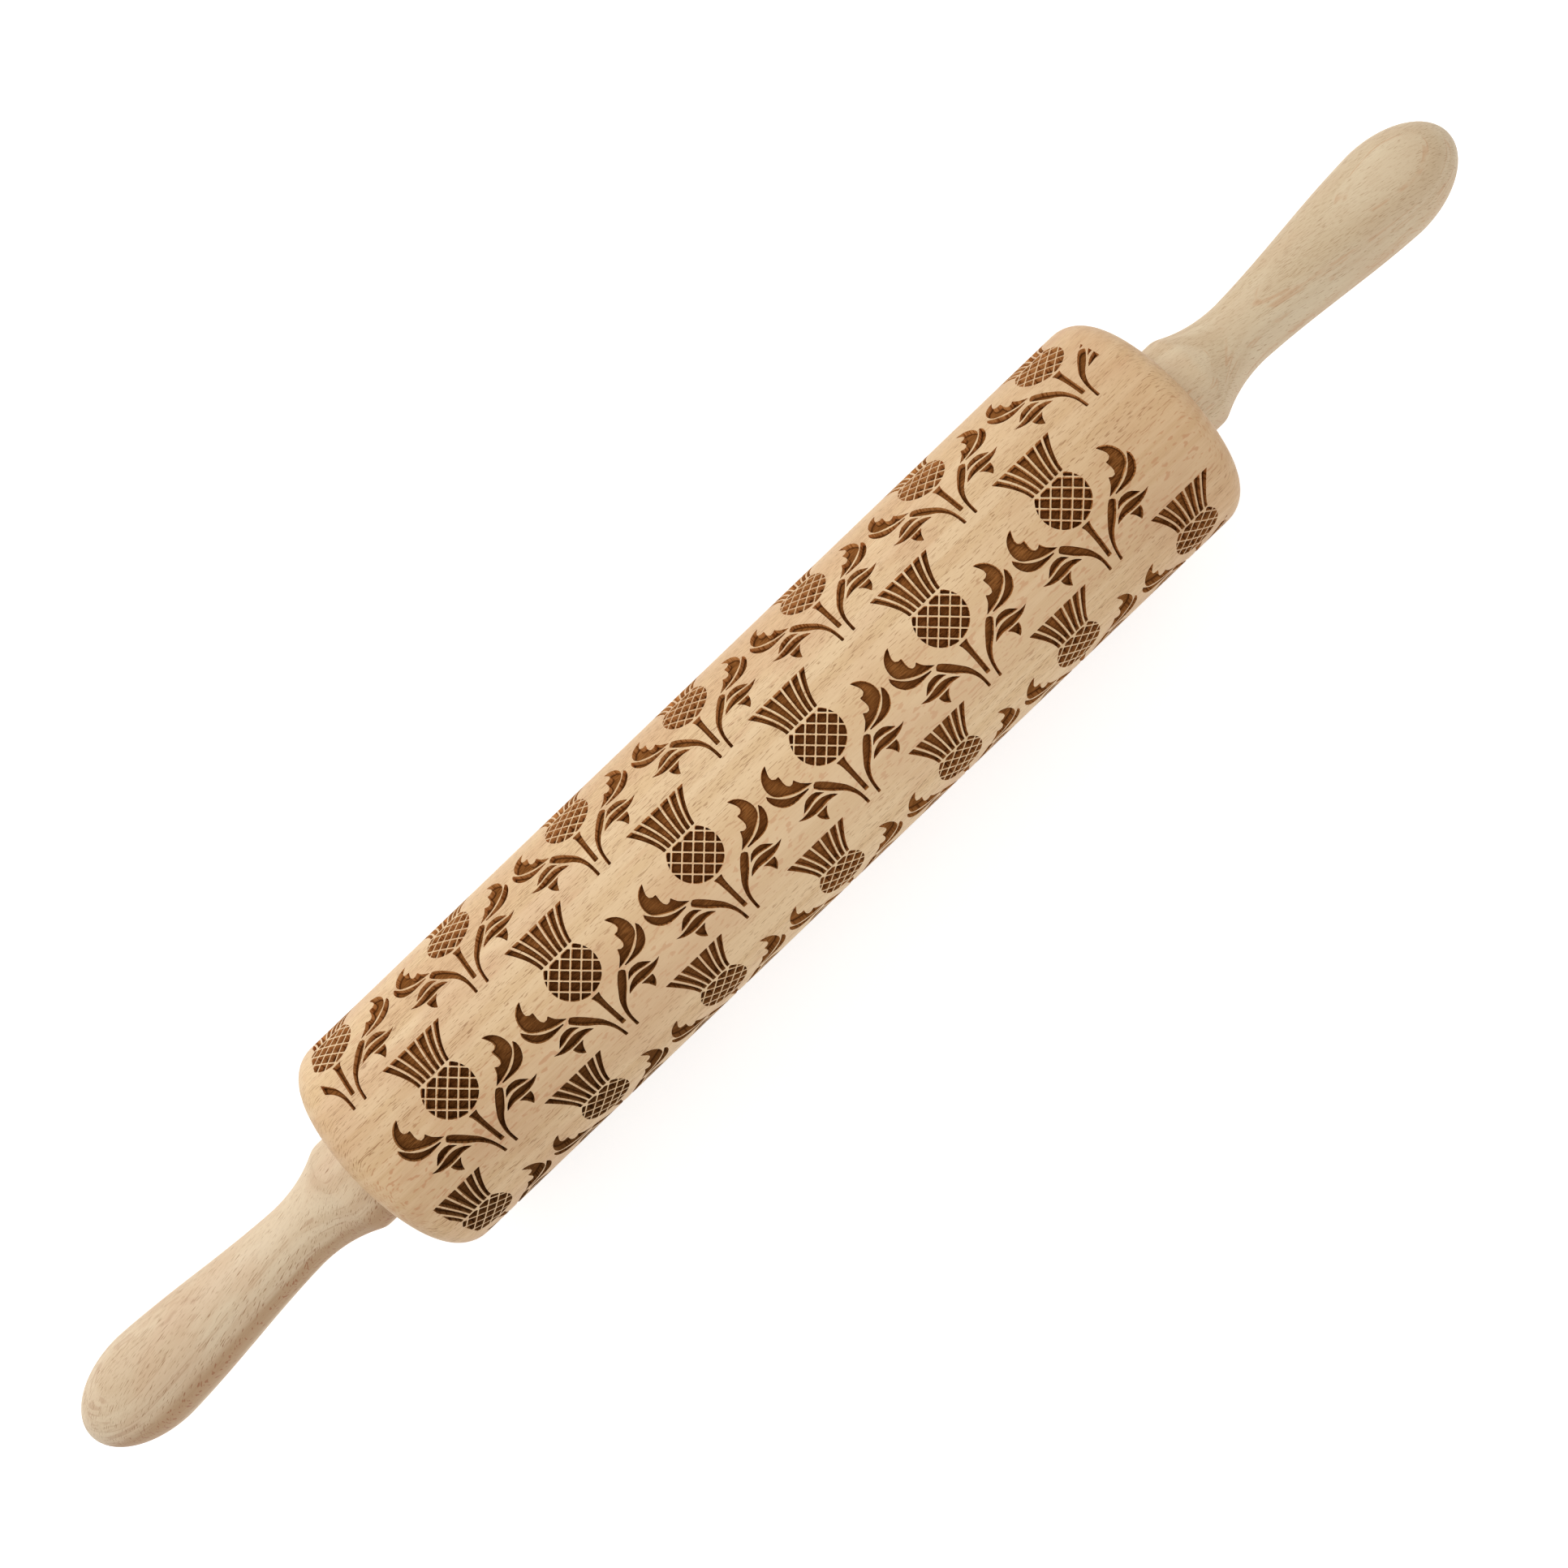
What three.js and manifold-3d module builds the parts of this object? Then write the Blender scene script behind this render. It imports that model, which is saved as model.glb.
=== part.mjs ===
// A turned beech rolling pin with a thistle pattern engraved in its roller.
// Lengths are in millimetres. The pin lies along X on the plane z = 0, with +Z up and its middle over the origin.
// The roller turns on two plastic bushes round a steel axle, and each handle is screwed to an end of the axle.

import * as THREE from 'three';
import { mergeVertices } from 'three/addons/utils/BufferGeometryUtils.js';
import Module from 'manifold-3d';

const wasm = await Module();
wasm.setup();

// Roller
const rollerRadius = 30;
const rollerLength = 254;
const rollerEdgeRadius = 6.5;
const rollerBoreRadius = 6.5;
const reliefDepth = 0.4;
const rollerSides = 24;
const edgeSteps = 4;

// Handles
const handleLength = 93.3;
const collarRadius = 12.8;
const collarLength = 10.5;
const collarEdgeRadius = 1.5;
const collarGap = 0.6;
const neckRadius = 8.7;
const neckPlace = 26.5;
const gripRadius = 12.6;
const gripPlace = 73.5;
const handleSides = 24;
const coveSteps = 5;
const coveExponent = 2.2;
const swellSteps = 6;
const swellStraightShare = 0.5;
const tipSteps = 7;

// Axle and what fastens it
const axleRadius = 4;
const axleGrip = 38;
const axleChamfer = 0.8;
const insertRadius = 6;
const insertLength = 16;
const insertDepth = 1;
const insertChamfer = 0.6;

// Bushes and washers
const bushRadius = 8;
const bushLength = 18;
const flangeRadius = 10;
const flangeThickness = 2;
const washerRadius = 9.5;
const washerThickness = 1;
const smallSides = 24;

// Clearances
const runningGap = 0.3;
const seatGap = 0.3;
const stackGap = 0.3;
const collarClearance = 0.6;

// Engraved pattern: thistles in rows along the roller, every second row set aside by rowShift
const engravingDepth = 1.3;
const engravingHalfLength = 119;
const cutterOverrun = 1;
const floorSides = 12;
const rowCount = 6;
const thistlePitch = 37.24;
const rowShift = 16.8;
const firstThistlePlace = -96.7;

// One thistle, measured from the middle of its bulb: across is along the roller, up is round it
const bulbHalfWidth = 6.3;
const bulbHalfHeight = 5.7;
const bulbCorners = 8;
const ribWidth = 0.7;
const floretCount = 2;
const floretNotch = 2.4;
const crownHeight = 9;
const crownFootHalfWidth = 5.2;
const crownTopHalfWidth = 8.6;
const stemLength = 9.4;
const sprayHalfWidth = 17.4;
const sprayFoot = 19;
const sprayFootGap = 1.2;
const sprayRise = 5;

// Materials
const beech = { color: 0xdcbc90, roughness: 0.62, metalness: 0 };
const paleBeech = { color: 0xdcc6a2, roughness: 0.6, metalness: 0 };
const steel = { color: 0xa8abae, roughness: 0.3, metalness: 1 };
const brass = { color: 0xb59a4e, roughness: 0.35, metalness: 1 };
const nylon = { color: 0xe9e6dc, roughness: 0.5, metalness: 0 };

// Places along the axis, measured from the middle of the roller
const rollerEnd = rollerLength / 2;
const collarFace = rollerEnd + collarGap;
const washerInner = collarFace - stackGap - washerThickness;
const flangeFace = washerInner - stackGap;
const flangeBack = flangeFace - flangeThickness;
const flangeSeat = flangeBack - seatGap;
const bushEnd = flangeFace - bushLength;
const bushSeatEnd = bushEnd - seatGap;
const axleEnd = collarFace + axleGrip;
const insertInner = collarFace + insertDepth;
const insertOuter = insertInner + insertLength;

// A solid of revolution about X. The profile holds [place along X, radius] points, from the left to the right
// round the outside, and starts and ends on the axis or closes on itself.
function turned(profile, sides) {
  const points = profile.map(([place, radius]) => new THREE.Vector2(radius, place));
  const halfSide = Math.PI / sides;
  return new THREE.LatheGeometry(points, sides, halfSide).rotateZ(-Math.PI / 2);
}

// The radius of the corners of a polygon whose flats lie at the given radius.
function cornerRadius(flatRadius, sides) {
  return flatRadius / Math.cos(Math.PI / sides);
}

function solidOf(geometry) {
  const bare = geometry.index ? geometry.toNonIndexed() : geometry.clone();
  bare.deleteAttribute('normal');
  bare.deleteAttribute('uv');
  const merged = mergeVertices(bare);
  const corners = merged.index.array;
  const kept = [];
  for (let i = 0; i < corners.length; i += 3) {
    const [a, b, c] = corners.subarray(i, i + 3);
    if (a !== b && b !== c && c !== a) kept.push(a, b, c);
  }
  return new wasm.Manifold(new wasm.Mesh({
    numProp: 3,
    vertProperties: merged.attributes.position.array,
    triVerts: new Uint32Array(kept),
  }));
}

function geometryOf(solid) {
  const { vertProperties, triVerts } = solid.getMesh();
  const geometry = new THREE.BufferGeometry();
  geometry.setAttribute('position', new THREE.BufferAttribute(vertProperties, 3));
  geometry.setIndex(new THREE.BufferAttribute(triVerts, 1));
  geometry.computeVertexNormals();
  return geometry;
}

// A cutter that sinks an outline of [across, up] points into the roller, with walls that run towards the axis.
// Up is measured round the roller's surface. The cutter's flat roof clears the roller's curve under it.
function cutter(outline) {
  const flat = outline.map(([across, up]) => new THREE.Vector2(across, up));
  if (THREE.ShapeUtils.isClockWise(flat)) flat.reverse();
  const at = (point, radius) => {
    const angle = point.y / rollerRadius;
    return [point.x, radius * Math.sin(angle), radius * Math.cos(angle)];
  };
  const heights = flat.map((point) => point.y);
  const halfSpan = (Math.max(...heights) - Math.min(...heights)) / 2;
  const clearRadius = cornerRadius(rollerRadius, rollerSides) + cutterOverrun;
  const roofRadius = clearRadius / Math.cos(halfSpan / rollerRadius);
  const floor = flat.map((point) => at(point, rollerRadius - engravingDepth - cutterOverrun));
  const roof = flat.map((point) => at(point, roofRadius));
  const corners = [];
  for (const [a, b, c] of THREE.ShapeUtils.triangulateShape(flat, [])) {
    corners.push(...roof[a], ...roof[b], ...roof[c]);
    corners.push(...floor[c], ...floor[b], ...floor[a]);
  }
  flat.forEach((point, i) => {
    const j = (i + 1) % flat.length;
    corners.push(...floor[i], ...floor[j], ...roof[j]);
    corners.push(...floor[i], ...roof[j], ...roof[i]);
  });
  const geometry = new THREE.BufferGeometry();
  geometry.setAttribute('position', new THREE.Float32BufferAttribute(corners, 3));
  return solidOf(geometry);
}

// The bulb is a polygon with a flat top, and the stem runs to a point from its lower corners.
function bulbOutline() {
  const bulb = Array.from({ length: bulbCorners }, (_, i) => {
    const angle = Math.PI * (2 * i + 1) / bulbCorners;
    return [-bulbHalfWidth * Math.sin(angle), -bulbHalfHeight * Math.cos(angle)];
  });
  return [[0, -bulbHalfHeight - stemLength], ...bulb];
}

// The crown fans out over the bulb, and its upper edge is notched between the florets.
function crownOutline() {
  const foot = bulbHalfHeight + ribWidth;
  const upperEdge = Array.from({ length: 2 * floretCount - 1 }, (_, i) => {
    const share = i / (2 * floretCount - 2);
    const notch = i % 2 ? floretNotch : 0;
    return [(2 * share - 1) * crownTopHalfWidth, foot + crownHeight - notch];
  });
  return [[-crownFootHalfWidth, foot], ...upperEdge, [crownFootHalfWidth, foot]];
}

// A spray is a branch that arches out from the stem's foot and widens into a leaf. Its points are shares of
// the spray's width and height, up its inner edge to the leaf's tip and back down its outer edge.
const sprayShares = [
  [0, 0],
  [0.1, 0.36],
  [0.42, 0.6],
  [0.74, 1],
  [1, 0.7],
  [0.4, 0.28],
];

function sprayOutline(side) {
  const width = sprayHalfWidth - sprayFootGap;
  const height = sprayFoot + sprayRise;
  return sprayShares.map(([across, up]) => [side * (sprayFootGap + across * width), up * height - sprayFoot]);
}

// Every cutter of the pattern, joined, and held to the engraved stretch and depth of the roller.
function patternCutter() {
  const outlines = [bulbOutline(), crownOutline(), sprayOutline(1), sprayOutline(-1)];
  const thistle = wasm.Manifold.union(outlines.map(cutter));
  const placed = [];
  for (let row = 0; row < rowCount; row += 1) {
    const shift = row % 2 ? -rowShift : 0;
    const turn = 360 * row / rowCount;
    const start = firstThistlePlace + shift;
    for (let place = start; place < engravingHalfLength; place += thistlePitch) {
      placed.push(thistle.translate([place, 0, 0]).rotate([turn, 0, 0]));
    }
  }
  const floorRadius = rollerRadius - engravingDepth;
  const topRadius = 2 * rollerRadius;
  const field = solidOf(turned([
    [-engravingHalfLength, floorRadius],
    [-engravingHalfLength, topRadius],
    [engravingHalfLength, topRadius],
    [engravingHalfLength, floorRadius],
    [-engravingHalfLength, floorRadius],
  ], floorSides));
  return wasm.Manifold.union(placed).intersect(field);
}

// The roller: a cylinder with rounded ends, bored through. Each end has a seat for a bush, and round it a shallow
// relief that keeps the wood clear of the handle's collar.
function rollerGeometry() {
  const radiusOf = (flat) => cornerRadius(flat, rollerSides);
  const rounding = Array.from({ length: edgeSteps + 1 }, (_, i) => {
    const angle = Math.PI / 2 * i / edgeSteps;
    const place = rollerEnd - rollerEdgeRadius * (1 - Math.cos(angle));
    return [place, radiusOf(rollerRadius - rollerEdgeRadius * (1 - Math.sin(angle)))];
  });
  const leftRounding = rounding.map(([place, radius]) => [-place, radius]);
  const body = solidOf(turned([
    [-rollerEnd, 0],
    ...leftRounding,
    ...rounding.reverse(),
    [rollerEnd, 0],
  ], rollerSides));
  const boreRadius = (nominal) => cornerRadius(nominal, smallSides);
  const reliefRadius = collarRadius + collarClearance;
  const seats = [
    [rollerEnd + cutterOverrun, boreRadius(reliefRadius)],
    [rollerEnd - reliefDepth, boreRadius(reliefRadius)],
    [rollerEnd - reliefDepth, boreRadius(flangeRadius + seatGap)],
    [flangeSeat, boreRadius(flangeRadius + seatGap)],
    [flangeSeat, boreRadius(bushRadius + seatGap)],
    [bushSeatEnd, boreRadius(bushRadius + seatGap)],
    [bushSeatEnd, boreRadius(rollerBoreRadius)],
  ];
  const leftSeats = seats.map(([place, radius]) => [-place, radius]);
  const bore = solidOf(turned([
    [-rollerEnd - cutterOverrun, 0],
    ...leftSeats,
    ...seats.reverse(),
    [rollerEnd + cutterOverrun, 0],
  ], smallSides));
  return geometryOf(body.subtract(bore).subtract(patternCutter()));
}

// The outside of a handle, from the edge of its collar to its tip, as [place from the collar's face, radius].
function handleOutline() {
  const shoulder = [
    [0, collarRadius - collarEdgeRadius / 2],
    [collarEdgeRadius / 2, collarRadius],
    [collarLength - collarEdgeRadius, collarRadius],
  ];
  const cove = Array.from({ length: coveSteps }, (_, i) => {
    const share = i / coveSteps;
    const radius = neckRadius + (collarRadius - collarEdgeRadius / 2 - neckRadius) * (1 - share) ** coveExponent;
    return [collarLength + share * (neckPlace - collarLength), radius];
  });
  const swell = Array.from({ length: swellSteps }, (_, i) => {
    const share = i / swellSteps;
    const eased = (1 - Math.cos(Math.PI * share)) / 2;
    const rise = swellStraightShare * share + (1 - swellStraightShare) * eased;
    return [neckPlace + share * (gripPlace - neckPlace), neckRadius + rise * (gripRadius - neckRadius)];
  });
  const tip = Array.from({ length: tipSteps + 1 }, (_, i) => {
    const angle = Math.PI / 2 * i / tipSteps;
    const radius = i === tipSteps ? 0 : gripRadius * Math.cos(angle);
    return [gripPlace + (handleLength - gripPlace) * Math.sin(angle), radius];
  });
  return [...shoulder, ...cove, ...swell, ...tip];
}

// A handle, turned from one piece, with a blind hole that takes the insert and the end of the axle.
function handleGeometry() {
  const hole = cornerRadius(axleRadius + runningGap, handleSides);
  const insertSeat = cornerRadius(insertRadius + seatGap, handleSides);
  const insertSeatEnd = insertOuter + seatGap;
  return turned([
    [axleEnd + seatGap, 0],
    [axleEnd + seatGap, hole],
    [insertSeatEnd, hole],
    [insertSeatEnd, insertSeat],
    [collarFace, insertSeat],
    ...handleOutline().map(([place, radius]) => [collarFace + place, radius]),
  ], handleSides);
}

// The axle: one steel rod, chamfered at both ends.
function axleGeometry() {
  return turned([
    [-axleEnd, 0],
    [-axleEnd, axleRadius - axleChamfer],
    [-axleEnd + axleChamfer, axleRadius],
    [axleEnd - axleChamfer, axleRadius],
    [axleEnd, axleRadius - axleChamfer],
    [axleEnd, 0],
  ], smallSides);
}

// A ring round the axle. The outside holds [place, radius] points, and the hole clears the axle.
function ringGeometry(outside) {
  const hole = cornerRadius(axleRadius + runningGap, smallSides);
  const first = outside[0];
  const last = outside[outside.length - 1];
  return turned([[first[0], hole], ...outside, [last[0], hole], [first[0], hole]], smallSides);
}

function insertGeometry() {
  return ringGeometry([
    [insertInner, insertRadius - insertChamfer],
    [insertInner + insertChamfer, insertRadius],
    [insertOuter - insertChamfer, insertRadius],
    [insertOuter, insertRadius - insertChamfer],
  ]);
}

function bushGeometry() {
  return ringGeometry([
    [bushEnd, bushRadius],
    [flangeBack, bushRadius],
    [flangeBack, flangeRadius],
    [flangeFace, flangeRadius],
  ]);
}

function washerGeometry() {
  return ringGeometry([
    [washerInner, washerRadius],
    [washerInner + washerThickness, washerRadius],
  ]);
}

const pin = new THREE.Group();
pin.position.z = rollerRadius;

function add(name, geometry, finish) {
  const mesh = new THREE.Mesh(geometry, new THREE.MeshStandardMaterial(finish));
  mesh.name = name;
  pin.add(mesh);
  return mesh;
}

// Pieces that come in pairs are made for the right end, and turned half round Z for the left end.
function addPair(name, makeGeometry, finish) {
  add(`right_${name}`, makeGeometry(), finish);
  add(`left_${name}`, makeGeometry(), finish).rotation.z = Math.PI;
}

add('engraved_roller', rollerGeometry(), beech);
add('axle_rod', axleGeometry(), steel);
addPair('bearing_bush', bushGeometry, nylon);
addPair('thrust_washer', washerGeometry, steel);
addPair('threaded_insert', insertGeometry, brass);
addPair('handle', handleGeometry, paleBeech);

export default pin;
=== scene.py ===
"""A rolling pin with an engraved roller that turns between two handles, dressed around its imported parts.

Lengths are in metres and the pin lies along X. The sizes of the wood and of its pattern and figure are
given in millimetres and turned into metres.
"""

import bpy
import numpy as np
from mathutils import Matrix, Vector
from mathutils.geometry import delaunay_2d_cdt


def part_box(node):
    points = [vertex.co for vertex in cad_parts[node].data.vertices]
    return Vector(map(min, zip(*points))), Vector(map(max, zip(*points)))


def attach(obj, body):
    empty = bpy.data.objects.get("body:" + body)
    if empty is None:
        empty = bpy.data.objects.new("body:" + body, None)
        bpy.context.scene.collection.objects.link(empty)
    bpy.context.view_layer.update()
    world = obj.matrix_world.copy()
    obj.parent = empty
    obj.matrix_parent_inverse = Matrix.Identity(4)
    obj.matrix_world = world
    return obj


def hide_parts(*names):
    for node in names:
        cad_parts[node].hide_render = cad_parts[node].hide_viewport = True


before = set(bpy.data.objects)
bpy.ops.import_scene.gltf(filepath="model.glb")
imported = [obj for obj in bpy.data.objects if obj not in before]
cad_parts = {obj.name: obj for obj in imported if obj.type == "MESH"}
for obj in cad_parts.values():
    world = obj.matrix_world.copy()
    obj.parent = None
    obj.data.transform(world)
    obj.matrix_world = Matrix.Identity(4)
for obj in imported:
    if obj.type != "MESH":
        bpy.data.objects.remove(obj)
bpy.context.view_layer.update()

# The roller is turned from one length of beech, with rounded ends, a bore, and a seat for a bush at
# each end. The pattern is burnt out of its surface all round and leaves brown walls and dark floors.

# Its thistles come first: a ball of scales, a crown of florets, a stem and two sprays. Each outline is
# one closed pocket, in millimetres from near the ball's middle, with the way along the roller first
# and the way round it second.
curve_steps = 24
outline_spacing = 0.95


def smooth_run(points, spacing):
    """Points at even steps on a Catmull-Rom curve through the given ones: each stretch is the cubic
    whose slope at a point is half the way from its neighbour before to its neighbour after."""
    points = np.array(points, float)
    before = np.vstack([2 * points[0] - points[1], points[:-1]])
    after = np.vstack([points[1:], 2 * points[-1] - points[-2]])
    slope = (after - before) / 2
    share = np.linspace(0, 1, curve_steps, endpoint=False)[:, None]
    start, end = points[:-1, None], points[1:, None]
    cubic = (
        start * (2 * share**3 - 3 * share**2 + 1)
        + slope[:-1, None] * (share**3 - 2 * share**2 + share)
        + end * (3 * share**2 - 2 * share**3)
        + slope[1:, None] * (share**3 - share**2)
    )
    dense = np.vstack([cubic.reshape(-1, 2), points[-1]])
    way = np.concatenate([[0], np.cumsum(np.linalg.norm(np.diff(dense, axis=0), axis=1))])
    places = np.linspace(0, way[-1], max(2, round(way[-1] / spacing) + 1))
    return np.stack([np.interp(places, way, dense[:, side]) for side in (0, 1)], axis=1)


def outline(*runs):
    """One closed outline of smooth runs, with a corner where one run ends and the next begins."""
    return np.vstack([smooth_run(run, outline_spacing)[:-1] for run in runs])


def clipped(polygon, normal, limit):
    """The part of a convex polygon where the distance along the normal is under the limit: its
    corners there, and the points where its sides cross the limit, each at the share of the side
    that its two ends' distances give."""
    heights = polygon @ normal - limit
    next_heights = np.roll(heights, -1)
    crosses = heights * next_heights < 0
    fall = np.where(crosses, heights - next_heights, 1)
    sides = np.roll(polygon, -1, axis=0) - polygon
    crossings = polygon + sides * heights[:, None] / fall[:, None]
    return np.stack([polygon, crossings], axis=1)[np.stack([heights <= 0, crosses], axis=1)]


least_turn = np.radians(38)
corner_ease = 0.15
edge_parts = 3


def eased(piece):
    """The outline with each sharp corner cut off by a short edge, as a round cutter leaves it. The
    cut begins at a set distance from the corner, or at a third of the shorter side."""
    before = np.roll(piece, 1, axis=0) - piece
    after = np.roll(piece, -1, axis=0) - piece
    lengths = np.linalg.norm([before, after], axis=2)
    sharp = (before * after).sum(1) > -np.cos(least_turn) * lengths.prod(0)
    reach = np.where(sharp, np.minimum(corner_ease, lengths.min(0) / edge_parts), 0)
    cut_before = piece + before * (reach / lengths[0])[:, None]
    cut_after = piece + after * (reach / lengths[1])[:, None]
    cuts = np.stack([cut_before, cut_after], axis=1)
    return cuts[np.stack([np.ones_like(sharp), sharp], axis=1)]


big_leaf = outline(
    [(-12.85, 3.9), (-14.1, 3.55), (-15.5, 2.4), (-16.4, 0.7), (-16.6, -1.1), (-16.1, -2.6),
     (-14.8, -3.75), (-12.2, -5.2), (-9.9, -5.85), (-7.86, -6.1)],
    [(-7.86, -6.1), (-9.1, -5.0), (-10.0, -4.0), (-10.3, -3.2), (-10.54, -2.66)],
    [(-10.54, -2.66), (-11.1, -3.1), (-11.75, -3.35), (-12.3, -2.9), (-12.55, -2.0), (-12.45, -0.9),
     (-12.35, 0.12)],
    [(-12.35, 0.12), (-13.3, 0.15), (-13.85, 0.5), (-13.98, 1.2), (-13.7, 2.2), (-12.85, 3.9)],
)
leaf_edge = outline(
    [(-17.4, -1.16), (-17.8, -2.2), (-17.5, -3.9), (-16.4, -5.6), (-14.9, -6.5), (-13.2, -6.8),
     (-11.2, -6.75), (-9.35, -6.6)],
    [(-9.35, -6.6), (-9.35, -6.3)],
    [(-9.35, -6.3), (-10.8, -6.05), (-12.3, -5.65), (-14.0, -4.9), (-15.5, -3.7), (-16.7, -2.2),
     (-17.4, -1.16)],
)
upper_leaflet = outline(
    [(-14.0, -9.94), (-12.4, -9.8), (-10.8, -9.4), (-9.4, -9.25), (-8.3, -9.32), (-7.4, -9.6)],
    [(-7.4, -9.6), (-8.6, -8.25), (-9.7, -7.83), (-10.9, -7.85), (-12.2, -8.25), (-14.0, -9.94)],
)
lower_leaflet = outline(
    [(-16.1, -10.3), (-14.3, -11.4), (-12.2, -11.9), (-10.0, -11.9), (-8.0, -11.7), (-5.4, -12.1)],
    [(-5.4, -12.1), (-6.4, -11.0), (-7.6, -10.3), (-9.0, -9.88), (-10.8, -9.88), (-12.8, -10.25),
     (-14.5, -10.45), (-16.1, -10.3)],
)
lobe = outline(
    [(-12.2, -12.3), (-12.05, -13.3), (-11.5, -14.4), (-10.6, -15.25)],
    [(-10.6, -15.25), (-10.15, -13.9), (-9.6, -12.95), (-8.84, -12.2)],
    [(-8.84, -12.2), (-12.2, -12.3)],
)
branch = outline(
    [(-8.64, -7.3), (-7.78, -8.53), (-5.9, -10.7), (-4.34, -12.15), (-3.1, -13.85), (-2.39, -15.7),
     (-2.13, -17.6), (-2.08, -19.3)],
    [(-2.08, -19.3), (-1.68, -19.6), (-1.28, -19.3)],
    [(-1.28, -19.3), (-1.37, -17.4), (-1.6, -15.25), (-2.08, -13.4), (-2.78, -11.66), (-3.95, -10.0),
     (-5.1, -8.5), (-6.53, -6.97), (-7.39, -6.34)],
    [(-7.39, -6.34), (-8.1, -6.6), (-8.64, -7.3)],
)
spray = [big_leaf, leaf_edge, upper_leaflet, lower_leaflet, lobe, branch]
stem = outline(
    [(-1.22, -6.66), (-0.95, -7.3), (-0.78, -8.2), (-0.64, -11.0), (-0.6, -16.3)],
    [(-0.6, -16.3), (0.6, -16.3)],
    [(0.6, -16.3), (0.64, -11.0), (0.78, -8.2), (0.95, -7.3), (1.22, -6.66)],
    [(1.22, -6.66), (-1.22, -6.66)],
)

# The florets rise from the ball's top and flare outwards by a power of their height. Their edges are
# given at the foot and at the top, for the middle one and the three on its right.
floret_foot = 5.48
floret_top = 14.28
floret_flare = 1.55
floret_steps = 10
floret_edges = [
    (-0.48, 0.48, -1.18, 1.18),
    (0.92, 1.94, 1.7, 3.99),
    (2.36, 3.38, 4.51, 6.36),
    (3.82, 4.65, 6.98, 8.63),
]
florets = []
for foot_left, foot_right, top_left, top_right in floret_edges:
    rise = np.linspace(0, 1, floret_steps)
    height = floret_foot + (floret_top - floret_foot) * rise
    left = foot_left + (top_left - foot_left) * rise**floret_flare
    right = foot_right + (top_right - foot_right) * rise**floret_flare
    florets.append(np.vstack([np.stack([right, height], 1), np.stack([left, height], 1)[::-1]]))

# The ball's scales are squares that stand on their corners, cut off by the ball's flat top and by a
# polygon for its round outline.
ball_middle = np.array([0, 0.4])
ball_radius = 6.42
ball_top = 5.03
scale_pitch = 2.4
scale_side = 2.09
crossing_height = 1.09
least_scale_area = 0.2
ball_sides = 40
scale_rows = range(-4, 5)
half_pitch = scale_pitch / np.sqrt(2)
upward = np.array([0, 1])
scale_corners = scale_side / np.sqrt(2) * np.array([(1, 0), (0, 1), (-1, 0), (0, -1)])
first_middle = np.array([0, crossing_height + half_pitch])
turns = np.arange(ball_sides) * 2 * np.pi / ball_sides
scales = []
for row in scale_rows:
    for column in scale_rows:
        scale = first_middle + half_pitch * np.array([row - column, row + column]) + scale_corners
        scale = clipped(scale, upward, ball_top)
        for turn in turns:
            if len(scale) < 3:
                break
            outward = np.array([np.cos(turn), np.sin(turn)])
            scale = clipped(scale, outward, ball_radius + ball_middle @ outward)
        if len(scale) < 3:
            continue
        onward = np.roll(scale, -1, axis=0)
        area = np.sum(scale[:, 0] * onward[:, 1] - scale[:, 1] * onward[:, 0]) / 2
        if area > least_scale_area:
            scales.append(scale)

mirror = np.array([-1, 1])
thistle = [*spray, *[(piece * mirror)[::-1] for piece in spray], stem, *scales, *florets]
thistle += [(piece * mirror)[::-1] for piece in florets[1:]]
thistle = [eased(piece) for piece in thistle]

# The roller's own sizes, its rows of thistles, and the seats in its ends for the bushes.
millimetre = 0.001
roller_low, roller_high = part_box("engraved_roller")
bush_low, bush_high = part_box("right_bearing_bush")
axis_height = (roller_low.z + roller_high.z) / 2
roller_end = roller_high.x / millimetre
roller_radius = 30.0
edge_radius = 6.5
edge_steps = 10
sides = 96

pattern_half_length = 119.0
beyond_pattern = 120.0
engraving_depth = 1.3
wall_lean = 0.09
longest_lean = 3.0
row_count = 6
thistle_pitch = 37.24
even_row_start = -96.7
odd_row_start = -113.5
even_row = even_row_start + thistle_pitch * np.arange(6)
odd_row = odd_row_start + thistle_pitch * np.arange(7)
row_turn = -0.4
land_rings = 70
floor_spacing = 0.8
clear_of_wall = 0.3
clear_of_pocket = 0.5

relief_radius = 13.4
relief_depth = 0.4
bore_radius = 6.5
bush_radius = 8.0
flange_radius = 10.0
flange_thickness = 2.0
seat_gap = 0.3

circumference = 2 * np.pi * roller_radius
edge_starts = np.vstack(thistle)
edge_ends = np.vstack([np.roll(piece, -1, axis=0) for piece in thistle])


def in_pockets(places):
    """Whether each place lies in a pocket of a thistle: a line from there along the roller crosses
    the outlines an odd number of times."""
    place = places[:, None, :]
    passes = (edge_starts[:, 1] > place[..., 1]) != (edge_ends[:, 1] > place[..., 1])
    rise = edge_ends[:, 1] - edge_starts[:, 1]
    slope = (edge_ends[:, 0] - edge_starts[:, 0]) / np.where(rise == 0, 1, rise)
    ahead = edge_starts[:, 0] + (place[..., 1] - edge_starts[:, 1]) * slope > place[..., 0]
    return (passes & ahead).sum(1) % 2 == 1


def from_outlines(places):
    """The distance of each place from the nearest outline of a thistle."""
    away = places[:, None, :] - edge_starts
    along = edge_ends - edge_starts
    share = np.clip((away * along).sum(2) / (along**2).sum(1), 0, 1)
    return np.linalg.norm(away - share[..., None] * along, axis=2).min(1)


def wrapped(arc):
    """A way round the roller, measured from the nearer side of its start."""
    return (arc + circumference / 2) % circumference - circumference / 2


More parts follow.
